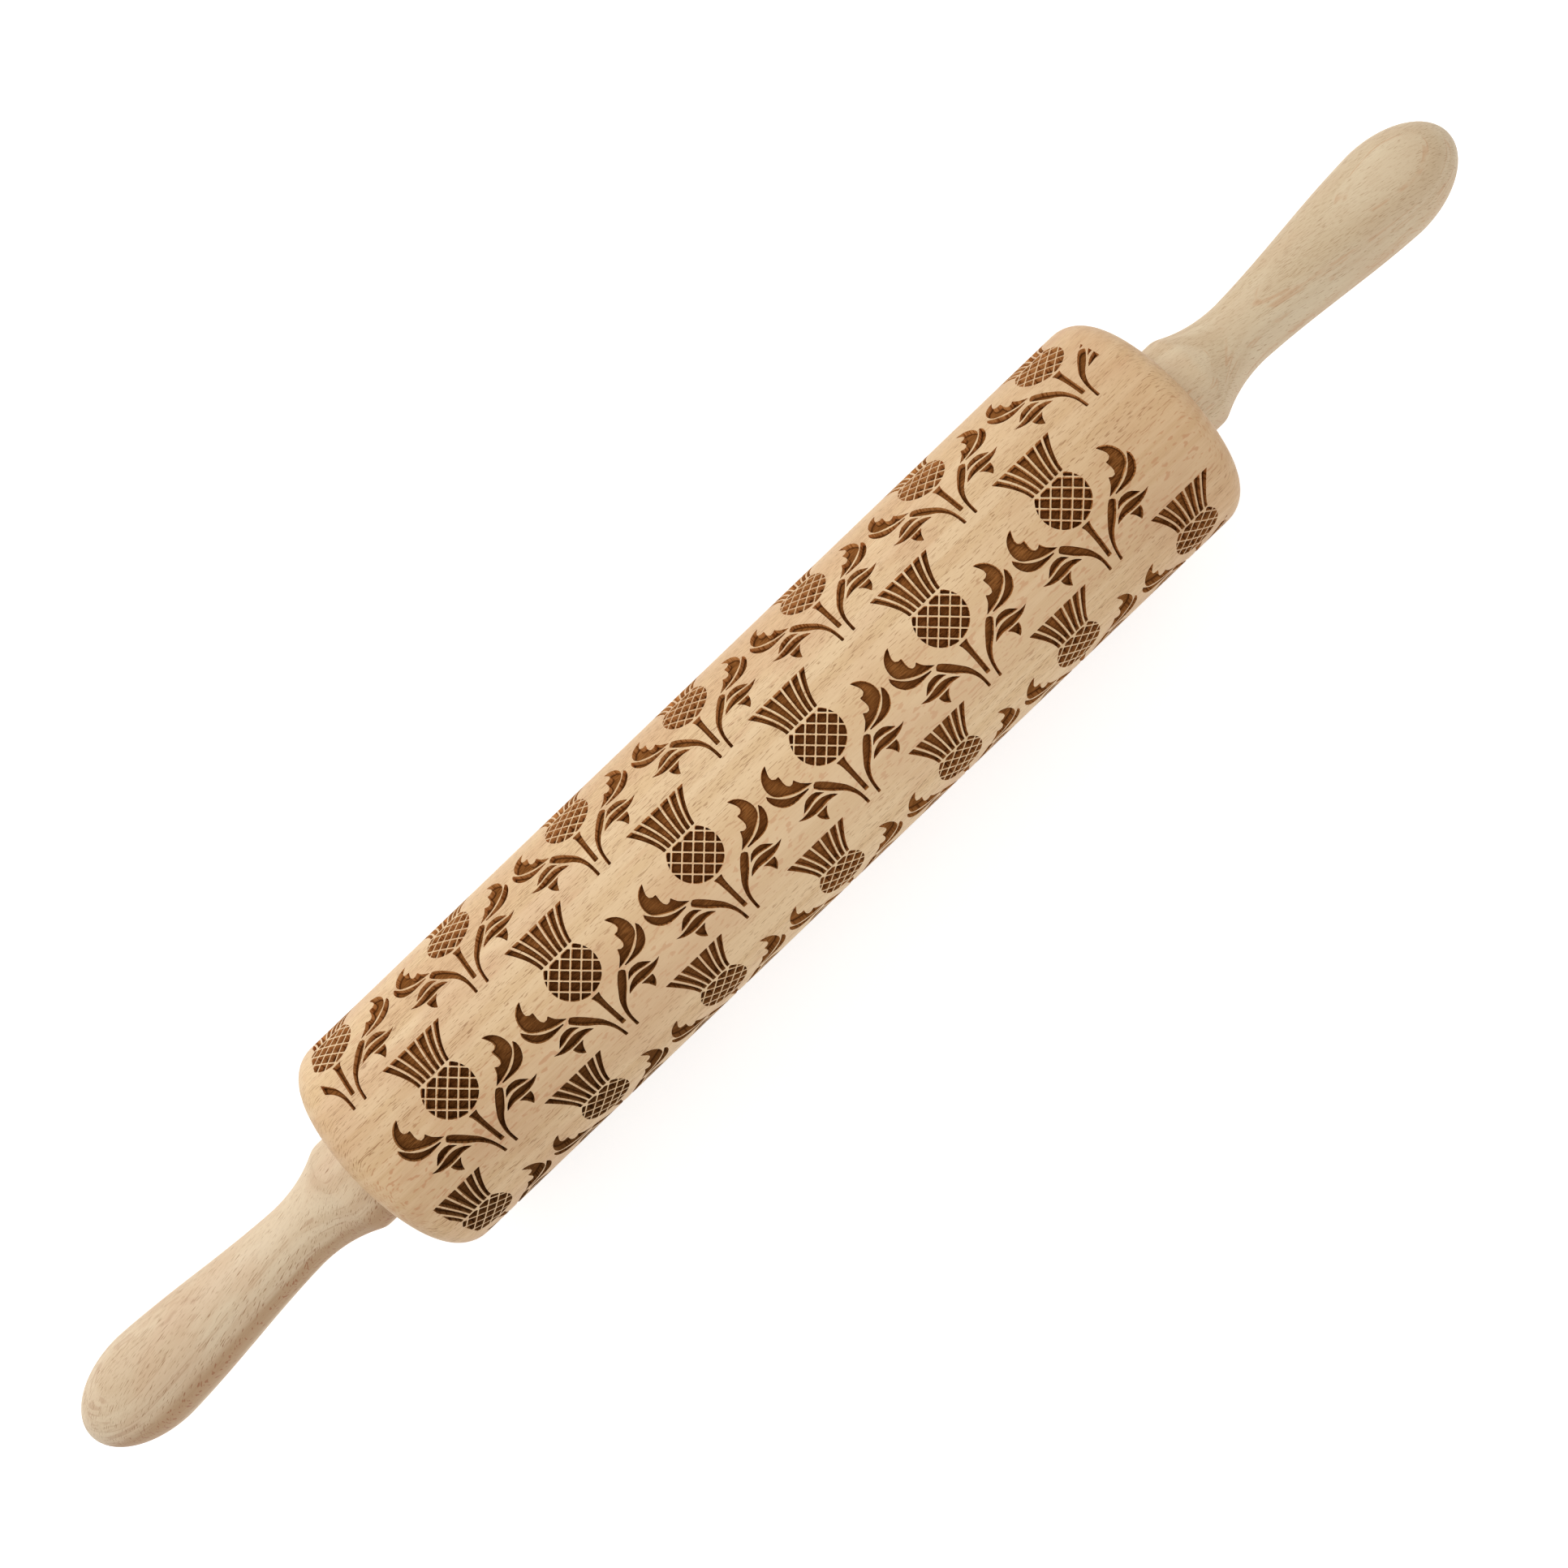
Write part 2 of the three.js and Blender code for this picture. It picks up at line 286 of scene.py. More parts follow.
thistle_low = edge_starts.min(0)
thistle_high = edge_starts.max(0)
columns = np.arange(thistle_low[0], thistle_high[0], floor_spacing)
lines = np.arange(thistle_low[1], thistle_high[1], floor_spacing * np.sqrt(3) / 2)
floor_places = np.stack(np.meshgrid(columns, lines), 2)
floor_places[1::2, :, 0] += floor_spacing / 2
floor_places = floor_places.reshape(-1, 2)
floor_places = floor_places[in_pockets(floor_places)]
floor_distances = from_outlines(floor_places)
floor_places = floor_places[floor_distances > clear_of_wall]
floor_distances = floor_distances[floor_distances > clear_of_wall]

arcs = np.arange(sides) * circumference / sides
rings = np.linspace(-pattern_half_length, pattern_half_length, land_rings)[1:-1]
land_places = np.stack(np.meshgrid(rings, arcs), 2).reshape(-1, 2)
centres = [
    np.array([place, row * circumference / row_count + row_turn])
    for row in range(row_count)
    for place in (odd_row if row % 2 else even_row)
]


def near_thistle(places, centre):
    """The places as seen from a thistle's centre, and which of them its box holds."""
    local = np.stack([places[:, 0] - centre[0], wrapped(places[:, 1] - centre[1])], axis=1)
    near = (local > thistle_low - clear_of_pocket) & (local < thistle_high + clear_of_pocket)
    return local, near.all(1)


for centre in centres:
    local, near = near_thistle(land_places, centre)
    kept = ~near
    kept[near] = ~in_pockets(local[near]) & (from_outlines(local[near]) > clear_of_pocket)
    land_places = land_places[kept]

# Every outline, floor place and land place is laid out on a ring-shaped plan of the roller's surface,
# where a step along the roller is a step outwards, and joined there into triangles.
outlines = np.vstack([edge_starts + centre for centre in centres])
outlines[:, 0] = np.clip(outlines[:, 0], -beyond_pattern, beyond_pattern)
floors = np.vstack([floor_places + centre for centre in centres])
distances = np.tile(floor_distances, len(centres))
kept = np.abs(floors[:, 0]) < pattern_half_length - clear_of_wall
floors = floors[kept]
distances = distances[kept]
barrel_end = roller_end - edge_radius
edge_rings = [-barrel_end, -pattern_half_length, pattern_half_length, barrel_end]
ring_places = np.vstack([np.stack([np.full(sides, ring), arcs], axis=1) for ring in edge_rings])
places = np.vstack([outlines, floors, ring_places, land_places])
distance_of = np.zeros(len(places) + 1)
distance_of[len(outlines) : len(outlines) + len(floors)] = distances


def closed_edges(sizes, first=0):
    """The edges of closed outlines of these sizes, whose points are numbered in turn: each point is
    joined to the next, and the last of an outline to its first."""
    starts = np.concatenate([[0], np.cumsum(sizes)])
    onward = np.arange(starts[-1]) + 1
    onward[starts[1:] - 1] = starts[:-1]
    return (np.stack([np.arange(starts[-1]), onward], axis=1) + first).tolist()


outline_edges = closed_edges([len(piece) for piece in thistle] * len(centres))
ring_edges = closed_edges([sides] * len(edge_rings), len(outlines) + len(floors))
plan = np.exp((places[:, 0] + 1j * places[:, 1]) / roller_radius)
plan = [Vector(place) for place in zip(plan.real.tolist(), plan.imag.tolist())]
finest = 1e-7
found = delaunay_2d_cdt(plan, outline_edges + ring_edges, [], 0, finest, True)

plan = np.array([tuple(place) for place in found[0]])
spot = plan[:, 0] + 1j * plan[:, 1]
along = roller_radius * np.log(np.abs(spot))
arc = roller_radius * np.angle(spot)
source = np.array([ids[0] if ids else -1 for ids in found[3]])
from_wall = distance_of[source]
triangles = np.array(found[2])
triangles = triangles[along[triangles].max(1) > -barrel_end + clear_of_wall]
around = arc[triangles]
around = around[:, 0] + wrapped(around - around[:, :1]).mean(1)
middles = np.stack([along[triangles].mean(1), around], axis=1)
in_pocket = np.zeros(len(triangles), bool)
for centre in centres:
    local, near = near_thistle(middles, centre)
    in_pocket[near] |= in_pockets(local[near])
in_pocket &= np.abs(middles[:, 0]) < pattern_half_length

# The walls stand on the edges that only one triangle of a pocket has. The floor's edge is drawn in
# from the wall's top by wall_lean, and at a corner by more, up to longest_lean times as much.
count = len(along)
sunk = triangles[in_pocket]
edges = np.vstack([sunk[:, [0, 1]], sunk[:, [1, 2]], sunk[:, [2, 0]]])
ways = edges[:, 0] * count + edges[:, 1]
edges = edges[~np.isin(ways, edges[:, 1] * count + edges[:, 0])]
step = np.stack([np.diff(along[edges])[:, 0], wrapped(np.diff(arc[edges])[:, 0])], axis=1)
inward = np.stack([-step[:, 1], step[:, 0]], axis=1) / np.linalg.norm(step, axis=1)[:, None]
lean = np.zeros((count, 2))
np.add.at(lean, edges[:, 0], inward)
np.add.at(lean, edges[:, 1], inward)
lean *= 2 * wall_lean / np.maximum((lean**2).sum(1), 4 / longest_lean**2)[:, None]
crownward = np.clip(lean[:, 1] / wall_lean, -1, 1)


def round_roller(along, arc, radius):
    """Points at a place along the roller, a way round its surface and a distance from its axis."""
    angle = arc / roller_radius
    across = radius * np.sin(angle)
    points = np.stack(np.broadcast_arrays(along, across, radius * np.cos(angle)), axis=-1)
    return points * millimetre + (0, 0, axis_height)


top = round_roller(along, arc, roller_radius)
floor = round_roller(along + lean[:, 0], arc + lean[:, 1], roller_radius - engraving_depth)

turn = np.linspace(0, np.pi / 2, edge_steps + 1)[1:]
rounding_radii = roller_radius - edge_radius * (1 - np.cos(turn))
rounding = np.stack([barrel_end + edge_radius * np.sin(turn), rounding_radii], axis=1)
flange_face = bush_high.x / millimetre
flange_seat = flange_face - flange_thickness - seat_gap
bush_seat_end = bush_low.x / millimetre - seat_gap
end_profile = np.vstack([
    rounding,
    (roller_end, relief_radius),
    (roller_end - relief_depth, relief_radius),
    (roller_end - relief_depth, flange_radius + seat_gap),
    (flange_seat, flange_radius + seat_gap),
    (flange_seat, bush_radius + seat_gap),
    (bush_seat_end, bush_radius + seat_gap),
    (bush_seat_end, bore_radius),
])
profile = np.vstack([end_profile, end_profile[::-1] * (-1, 1)])
turned = round_roller(profile[:, None, 0], arcs[None, :], profile[:, None, 1])
grid = np.arange(turned.shape[0] * sides).reshape(-1, sides) + 2 * count
right_ring = np.flatnonzero(np.abs(along - barrel_end) < clear_of_wall)
left_ring = np.flatnonzero(np.abs(along + barrel_end) < clear_of_wall)


def in_order(ring):
    """The ring's points in the order of their way round, from the start of the ways round."""
    place_in_ring = np.round(arc[ring] % circumference / circumference * sides).astype(int) % sides
    return ring[np.argsort(place_in_ring)]


grid = np.vstack([in_order(right_ring), grid, in_order(left_ring)])


def grid_triangles(grid):
    """Two triangles for each cell of a grid of point numbers, whose rows close on themselves."""
    onward = np.roll(grid, -1, axis=1)
    first = np.stack([grid[:-1], grid[1:], onward[1:]], axis=-1).reshape(-1, 3)
    second = np.stack([grid[:-1], onward[1:], onward[:-1]], axis=-1).reshape(-1, 3)
    faces = np.vstack([first, second])
    distinct = (faces[:, 0] != faces[:, 1]) & (faces[:, 1] != faces[:, 2]) & (faces[:, 2] != faces[:, 0])
    return faces[distinct]


points = np.vstack([top, floor, turned.reshape(-1, 3)])
faces = np.vstack([
    triangles[~in_pocket],
    sunk + count,
    np.stack([edges[:, 0], edges[:, 1], edges[:, 1] + count], axis=1),
    np.stack([edges[:, 0], edges[:, 1] + count, edges[:, 0] + count], axis=1),
    grid_triangles(grid),
])
over_floor = round_roller(along + lean[:, 0], arc + lean[:, 1], roller_radius)
on_surface = np.vstack([top, over_floor, turned.reshape(-1, 3)])
burn = np.zeros(len(points))
burn[count : 2 * count] = 1
wall_distance = np.zeros(len(points))
wall_distance[count : 2 * count] = from_wall
faces_crown = np.zeros(len(points))
faces_crown[: 2 * count] = np.tile(crownward, 2)
crease = np.radians(32)


def mesh_piece(name, points, faces, fields=None):
    """A piece of triangles, smooth but for the edges that turn by more than the crease. Points that
    no triangle uses are left out. A field is a number or a vector for each point."""
    used = np.unique(faces)
    number = np.zeros(len(points), np.int32)
    number[used] = np.arange(len(used))
    mesh = bpy.data.meshes.new(name)
    mesh.vertices.add(len(used))
    mesh.vertices.foreach_set("co", points[used].astype(np.float32).ravel())
    mesh.loops.add(faces.size)
    mesh.loops.foreach_set("vertex_index", number[faces].ravel())
    mesh.polygons.add(len(faces))
    mesh.polygons.foreach_set("loop_start", np.arange(0, faces.size, 3, dtype=np.int32))
    mesh.polygons.foreach_set("use_smooth", np.ones(len(faces), bool))
    for title, values in (fields or {}).items():
        kind, field = ("FLOAT", "value") if values.ndim == 1 else ("FLOAT_VECTOR", "vector")
        made = mesh.attributes.new(title, kind, "POINT")
        made.data.foreach_set(field, values[used].astype(np.float32).ravel())
    mesh.update(calc_edges=True)
    mesh.validate()
    mesh.set_sharp_from_angle(angle=crease)
    piece = bpy.data.objects.new(name, mesh)
    bpy.context.scene.collection.objects.link(piece)
    return piece


fields = {
    "burn": burn,
    "wall_distance": wall_distance,
    "faces_crown": faces_crown,
    "on_surface": on_surface,
}
roller = mesh_piece("carved_roller", points, faces, fields)


class Value:
    """A socket of a finish, so that its maths can be written as sums."""

    def __init__(self, finish, socket):
        self.finish = finish
        self.socket = socket

    def __add__(self, other):
        return self.finish.maths("ADD", self, other)

    def __sub__(self, other):
        return self.finish.maths("SUBTRACT", self, other)

    def __rsub__(self, other):
        return self.finish.maths("SUBTRACT", other, self)

    def __mul__(self, other):
        return self.finish.maths("MULTIPLY", self, other)

    def __truediv__(self, other):
        return self.finish.maths("DIVIDE", self, other)

    __radd__ = __add__
    __rmul__ = __mul__


class Finish:
    """The nodes of a material, or of the world, that work its look out."""

    def __init__(self, owner):
        owner.use_nodes = True
        self.owner = owner
        self.tree = owner.node_tree
        self.tree.nodes.clear()

    def node(self, kind, settings=None, output=0, **sockets):
        """A node of this kind: its settings are set first, then the values or links of its sockets,
        whose names are written with underscores. A number after i is a socket's place."""
        made = self.tree.nodes.new(kind)
        for name, value in (settings or {}).items():
            setattr(made, name, value)
        for name, value in sockets.items():
            place = int(name[1:]) if name[1:].isdigit() else name.replace("_", " ")
            if isinstance(value, Value):
                self.tree.links.new(value.socket, made.inputs[place])
            else:
                made.inputs[place].default_value = value
        return Value(self, made.outputs[output]) if made.outputs else None

    def maths(self, operation, first, second):
        """The sum, difference, product or quotient of two numbers."""
        return self.node("ShaderNodeMath", {"operation": operation}, i0=first, i1=second)

    def place(self):
        """The place of a point of the piece, in metres."""
        return self.node("ShaderNodeTexCoord", output="Object")

    def field(self, name, output="Fac"):
        """A field of the piece's own mesh."""
        return self.node("ShaderNodeAttribute", {"attribute_name": name}, output)

    def moved(self, place, **sockets):
        """The place after a turn and then a move."""
        return self.node("ShaderNodeMapping", {"vector_type": "POINT"}, Vector=place, **sockets)

    def share(self, place, way):
        """The part of a place or a direction that lies along X, Y or Z."""
        return self.node("ShaderNodeSeparateXYZ", output=way, Vector=place)

    def step(self, value, low, high):
        """0 under the low value, 1 over the high one, and a smooth rise between them."""
        settings = {"interpolation_type": "SMOOTHSTEP"}
        return self.node("ShaderNodeMapRange", settings, i0=value, i1=low, i2=high, i3=0.0, i4=1.0)

    def mix(self, share, first, second):
        """The first colour, and the second one over it by that share."""
        settings = {"data_type": "RGBA", "blend_type": "MIX"}
        return self.node("ShaderNodeMix", settings, 2, i0=share, i6=first, i7=second)

    def noise(self, place, scales, detail=2.0, roughness=0.5):
        """Noise with a feature about every so many millimetres along the three ways of the place."""
        stretched = self.node(
            "ShaderNodeVectorMath",
            {"operation": "MULTIPLY"},
            i0=place,
            i1=tuple(1 / (scale * millimetre) for scale in scales),
        )
        return self.node(
            "ShaderNodeTexNoise", Vector=stretched, Scale=1.0, Detail=detail, Roughness=roughness
        )

    def bump(self, height, strength, distance):
        """The surface's normals as this height would tilt them."""
        return self.node("ShaderNodeBump", Height=height, Strength=strength, Distance=distance)

    def material(self, colour, roughness, normal=None, **constants):
        """The finished material, with its own look on each socket that is named."""
        sockets = {"Base_Color": colour, "Roughness": roughness, **constants}
        if normal is not None:
            sockets["Normal"] = normal
        self.node("ShaderNodeOutputMaterial", Surface=self.node("ShaderNodeBsdfPrincipled", **sockets))
        return self.owner

    def shown(self):
        """1 for a ray from the camera, also by way of metal or glass, and 0 for one that lights."""
        rays = ("Is Camera Ray", "Is Glossy Ray", "Is Transmission Ray")
        return sum(self.node("ShaderNodeLightPath", output=ray) for ray in rays)


def linear(red, green, blue):
    """A colour as it shows on a screen, from 0 to 255, as the shader wants it."""
    shown = np.array([red, green, blue]) / 255
    return (*np.where(shown <= 0.04045, shown / 12.92, ((shown + 0.055) / 1.055) ** 2.4), 1.0)


# Beech's figure. A size is in millimetres along the grain and across it both ways, and two limits say
# at which of its values a mark begins and at which it is full.
drift_size = (60, 25, 25)
band_size = (160, 2.6, 30)
cloud_size = (14, 10, 6)
pore_size = (5, 0.35, 0.35)
gap_size = (5, 3, 3)
edge_on_limits = (0.02, 0.2)
band_limits = (0.35, 0.65)
cloud_limits = (0.85, 1.2)
ring_limits = (0.0, 0.0004)
gap_limits = (0.42, 0.6)
pore_limits = (0.45, 0.7)
ray_rise = 0.08
band_middle = 0.5
band_pull = 0.2
cloud_strength = 0.35
pore_strength = 0.22


def beech(finish, tone, ray_turn, grain_tilt, place_shift):
    """The place in beech's grain, and beech's colour there: growth rings, clouds, fine pores, and
    rays. The rings are layers, so they show as long bands, and as ovals where a swelling cuts
    through them, with broken lines where one band turns into the next. The rays are thin ribbons
    across the rings, so they show as short brown strokes, and as pinkish flakes in a faint haze where
    the surface runs along them. The turn says where round the piece that is, and the tilt how far
    the grain runs off the piece's length."""
    subtract = {"operation": "SUBTRACT"}
    place = finish.node("ShaderNodeVectorMath", subtract, i0=finish.place(), i1=(0, 0, axis_height))
    turned_place = finish.moved(place, Rotation=(ray_turn, 0, 0))
    side = finish.share(turned_place, "Y")
    rise = finish.share(turned_place, "Z")
    edge_on = finish.step(side * side / (side * side + rise * rise), *edge_on_limits)
    grain = finish.moved(turned_place, Location=place_shift, Rotation=(0, grain_tilt, 0))
    drift = finish.noise(grain, drift_size, detail=1.0)
    bands = finish.noise(grain, band_size, detail=2.0)
    cloud = finish.noise(grain, cloud_size, detail=2.0)
    pores = finish.noise(grain, pore_size, detail=2.0, roughness=0.6)
    colour = finish.mix(finish.step(bands, *band_limits), tone["pale"], tone["warm"])
    cloud_share = finish.step(cloud + drift, *cloud_limits) * cloud_strength
    colour = finish.mix(cloud_share, colour, tone["cloud"])
    ring_edge = 1 - finish.step((bands - band_middle) * (bands - band_middle), *ring_limits)
    broken = finish.step(finish.noise(grain, gap_size, detail=1.0), *gap_limits)
    colour = finish.mix(ring_edge * broken * tone["ring_strength"], colour, tone["flake"])
    colour = finish.mix(finish.step(pores, *pore_limits) * pore_strength, colour, tone["pore"])
    colour = finish.mix((1 - edge_on) * tone["flake_haze"], colour, tone["haze"])
    ray_colour = finish.mix(edge_on, tone["flake"], tone["ray"])
    rays = finish.noise(grain, tone["ray_size"], detail=1.0, roughness=0.35)
    rays = rays + band_pull * bands - band_pull * band_middle + tone["flake_gain"] * (1 - edge_on)
    ray_share = finish.step(rays, tone["ray_limit"], tone["ray_limit"] + ray_rise)
    return grain, finish.mix(ray_share * tone["ray_strength"], colour, ray_colour)


# The roller's wood is warm and open, with a painted highlight in its middle near the crest and painted
# shade at its right end. Its engraving is scorched. The walls are orange brown with dark stripes down
# them, with painted shade on those that face the crowns. The floors are a streaky dark brown that is
# darkest along the walls, partly from the burn and partly as painted shade, and more painted shade lies
# towards the left end, on the side away from the crowns.
roller_tone = {
    "pale": linear(231, 200, 158),
    "warm": linear(221, 187, 142),
    "cloud": linear(205, 160, 122),
    "pore": linear(186, 146, 102),
    "ray": linear(146, 100, 60),
    "flake": linear(200, 144, 103),
    "ring_strength": 0.2,
    "flake_gain": 0.02,
    "haze": linear(207, 156, 118),
    "flake_haze": 0.1,
    "ray_size": (2.1, 1.2, 0.11),
    "ray_limit": 0.6,
    "ray_strength": 0.72,
}
roller_ray_turn = np.radians(-20)
roller_grain_tilt = 0
roller_grain_shift = (0, 0, 0.011)

# Where a painted highlight and painted shade change the tone along and across the roller. These limits
# are in metres, and those of the middle and of the crest are the squares of distances.
# A painted highlight in the roller's middle near the crest.
highlight_colour = linear(242, 208, 164)
highlight_strength = 0.3
highlight_length_limits = (0.001, 0.012)
highlight_crest_shift = 0.008
highlight_crest_limits = (0.00005, 0.0004)
# Painted shade towards the right end.
right_end_shade_colour = linear(186, 143, 100)
right_end_shade_strength = 0.32
right_end_shade_limits = (0.04, 0.12)
# Painted shade towards the left end, on the side away from the crowns, over the wood and the engraving.
shade_side_limits = (-0.028, 0.025)
shade_end_limits = (-0.09, 0.0)
shaded_wood_colour = linear(150, 106, 66)
shaded_wood_strength = 0.16
shaded_burn_colour = linear(52, 28, 10)
shaded_burn_strength = 0.55

# The colours and marks of the walls and floors. The walls have a lit and a shaded copy of their colours,
# for painted shade, and the floors' rim colour is partly burn and partly painted shade.
lit_wall_colours = (linear(168, 100, 42), linear(232, 166, 100))
shaded_wall_colours = (linear(114, 67, 26), linear(182, 123, 66))
floor_colours = (linear(102, 59, 20), linear(163, 107, 56))
patch_colour = linear(114, 69, 29)
rim_burn_and_shade_colour = linear(94, 53, 17)
highlight_floor_colour = linear(148, 96, 50)
highlight_floor_strength = 0.25
patch_strength = 0.5
stripe_size = (0.55, 0.55, 0.55)
streak_size = (2.6, 0.3, 0.3)
patch_size = (5, 4, 4)
fibre_size = (4, 0.4, 0.4)
stripe_limits = (0.33, 0.56)
wall_shade_limits = (-0.3, 0.7)
streak_limits = (0.35, 0.65)
patch_limits = (0.4, 0.7)
rim_burn_and_shade_limits = (0.0, 0.4)
burn_begins = (0.0, 0.06)
floor_begins = (0.6, 1.0)
bump_begins = (0.8, 1.0)
streak_depth = 3.0
fibre_depth = 0.4
sheen_weight = 0.4
matt = {"Specular_IOR_Level": 0.05, "Coat_Roughness": 0.5}

scorch = Finish(bpy.data.materials.new("roller_wood"))
grain, wood = beech(scorch, roller_tone, roller_ray_turn, roller_grain_tilt, roller_grain_shift)
burnt = scorch.field("burn")
wall_away = scorch.field("wall_distance")
# The share of painted shade on a wall, from how far it faces the crowns.
wall_shade_share = scorch.step(scorch.field("faces_crown"), *wall_shade_limits)
on_surface = scorch.field("on_surface", "Vector")
length_way = scorch.share(on_surface, "X")
side_way = scorch.share(on_surface, "Y")

# A painted highlight in the middle near the crest, painted shade at the right end, and painted shade
# towards the left end on the side away from the crowns, all over the wood.
from_highlight_crest = side_way + highlight_crest_shift
middle_highlight = 1 - scorch.step(length_way * length_way, *highlight_length_limits)
middle_highlight = middle_highlight * (1 - scorch.step(from_highlight_crest * from_highlight_crest, *highlight_crest_limits))
# Painted shade towards the left end, on the side away from the crowns.
left_end_shade = 1 - scorch.step(side_way, *shade_side_limits)
left_end_shade = left_end_shade * (1 - scorch.step(length_way, *shade_end_limits))
# Painted shade towards the right end of the roller.
right_end_shade = scorch.step(length_way, *right_end_shade_limits)
wood = scorch.mix(highlight_strength * middle_highlight, wood, highlight_colour)
wood = scorch.mix(right_end_shade_strength * right_end_shade, wood, right_end_shade_colour)
wood = scorch.mix(shaded_wood_strength * left_end_shade, wood, shaded_wood_colour)

stripes = scorch.noise(on_surface, stripe_size, detail=2.0, roughness=0.6)
stripe_share = scorch.step(stripes, *stripe_limits)
# Walls that face the crowns take the shaded copy of the wall colours: painted shade.
lit_wall = scorch.mix(stripe_share, *lit_wall_colours)
shaded_wall = scorch.mix(stripe_share, *shaded_wall_colours)
wall_colour = scorch.mix(wall_shade_share, lit_wall, shaded_wall)

streaks = scorch.noise(grain, streak_size, detail=3.0, roughness=0.65)
patches = scorch.noise(grain, patch_size, detail=1.0)
patch_share = scorch.step(patches, *patch_limits) * patch_strength
floor_colour = scorch.mix(scorch.step(streaks, *streak_limits), *floor_colours)
floor_colour = scorch.mix(patch_share, floor_colour, patch_colour)
# The floors darken along the walls, partly from the burn and partly as painted shade.
floor_colour = scorch.mix(scorch.step(wall_away, *rim_burn_and_shade_limits), rim_burn_and_shade_colour, floor_colour)
# A painted highlight on the floors in the middle near the crest.
floor_colour = scorch.mix(highlight_floor_strength * middle_highlight, floor_colour, highlight_floor_colour)

burn_share = scorch.step(burnt, *burn_begins)
colour = scorch.mix(burn_share, wood, wall_colour)
colour = scorch.mix(scorch.step(burnt, *floor_begins), colour, floor_colour)
# Painted shade over the engraving towards the left end, on the side away from the crowns.
colour = scorch.mix(shaded_burn_strength * left_end_shade * burn_share, colour, shaded_burn_colour)
relief = streaks * scorch.step(burnt, *bump_begins) * streak_depth
relief = relief + scorch.noise(grain, fibre_size) * fibre_depth
normal = scorch.bump(relief, strength=0.5, distance=0.0002)
sheen = sheen_weight * (1 - burn_share)
roller_finish = scorch.material(colour, 0.5 + 0.4 * burnt, normal, Coat_Weight=sheen, **matt)
roller.data.materials.append(roller_finish)
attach(roller, "roller")
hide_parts("engraved_roller")

# A flanged nylon bush is pressed into each end of the roller, and a steel washer lies between its
# flange and the handle. The steel axle runs through them all. They are turned parts and stay plain.
milky_size = (6, 6, 6)
drawn_size = (20, 0.2, 0.2)
turned_size = (0.3, 8, 8)

nylon = Finish(bpy.data.materials.new("bush_nylon"))
milky = nylon.noise(nylon.place(), milky_size)
colour = nylon.mix(milky, linear(232, 228, 216), linear(222, 217, 203))
bush_finish = nylon.material(colour, 0.45 + 0.1 * milky, Subsurface_Weight=0.1)

steel = Finish(bpy.data.materials.new("axle_steel"))
drawn = steel.noise(steel.place(), drawn_size, detail=3.0)
colour = steel.mix(drawn, linear(178, 180, 182), linear(205, 206, 207))
steel_finish = steel.material(colour, 0.25 + 0.2 * drawn, Metallic=1.0)

brass = Finish(bpy.data.materials.new("insert_brass"))
tool_marks = brass.noise(brass.place(), turned_size, detail=3.0)
colour = brass.mix(tool_marks, linear(190, 160, 92), linear(214, 186, 120))
brass_finish = brass.material(colour, 0.28 + 0.2 * tool_marks, Metallic=1.0)

fitting_finishes = {
    "left_bearing_bush": bush_finish,
    "right_bearing_bush": bush_finish,
    "left_thrust_washer": steel_finish,
    "right_thrust_washer": steel_finish,
    "left_threaded_insert": brass_finish,
    "right_threaded_insert": brass_finish,
    "axle_rod": steel_finish,
}
for name, finish in fitting_finishes.items():
    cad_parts[name].data.materials.clear()
    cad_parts[name].data.materials.append(finish)

# Each handle is turned from one piece of paler beech: a collar with a rounded edge, a neck, and a
# grip that swells to its end. It is bored for the brass insert and screwed onto the axle. On the left
# one the flakes lie on the side away from the crowns, which they darken.
insert_low, insert_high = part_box("right_threaded_insert")
axle_low, axle_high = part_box("axle_rod")
handle_low, handle_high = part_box("right_handle")
collar_face = handle_low.x / millimetre
handle_length = handle_high.x / millimetre - collar_face
collar_radius = 12.8
collar_length = 10.5
collar_edge = 1.5
shoulder_length = 2.2
shoulder_drop = 0.55
neck_radius = 8.7
neck_place = 26.5
grip_radius = 12.6
grip_place = 73.5
cove_power = 2.2
swell_straight = 0.5
axle_hole = 4.3
insert_hole = 6.3
collar_steps = 6
cove_steps = 16
swell_steps = 28
tip_steps = 22


def handle_outline():
    """Places from the collar's face and radii, round the outside of a handle: a quarter round at the
    collar's face, a parabola over its shoulder, a falling power curve to the neck, half a straight
    line and half a cosine to the grip, and a quarter of an ellipse to the tip."""
    turn = np.linspace(0, np.pi / 2, collar_steps)
    edge_radii = collar_radius - collar_edge * (1 - np.sin(turn))
    inner = np.stack([collar_edge * (1 - np.cos(turn)), edge_radii], axis=1)
    share = np.linspace(0, 1, collar_steps)
    shoulder_places = collar_length - shoulder_length * (1 - share)
    outer = np.stack([shoulder_places, collar_radius - shoulder_drop * share**2], axis=1)
    share = np.linspace(0, 1, cove_steps)[1:]
    cove_height = collar_radius - shoulder_drop - neck_radius
    cove_places = collar_length + share * (neck_place - collar_length)
    cove = np.stack([cove_places, neck_radius + cove_height * (1 - share) ** cove_power], axis=1)
    share = np.linspace(0, 1, swell_steps)[1:]
    rise = swell_straight * share + (1 - swell_straight) * (1 - np.cos(np.pi * share)) / 2
    swell_places = neck_place + share * (grip_place - neck_place)
    swell = np.stack([swell_places, neck_radius + rise * (grip_radius - neck_radius)], axis=1)
    turn = np.linspace(0, np.pi / 2, tip_steps)[1:]
    tip_places = grip_place + (handle_length - grip_place) * np.sin(turn)
    tip = np.stack([tip_places, grip_radius * np.cos(turn)], axis=1)
    tip[-1, 1] = 0
    return np.vstack([inner, outer, cove, swell, tip])


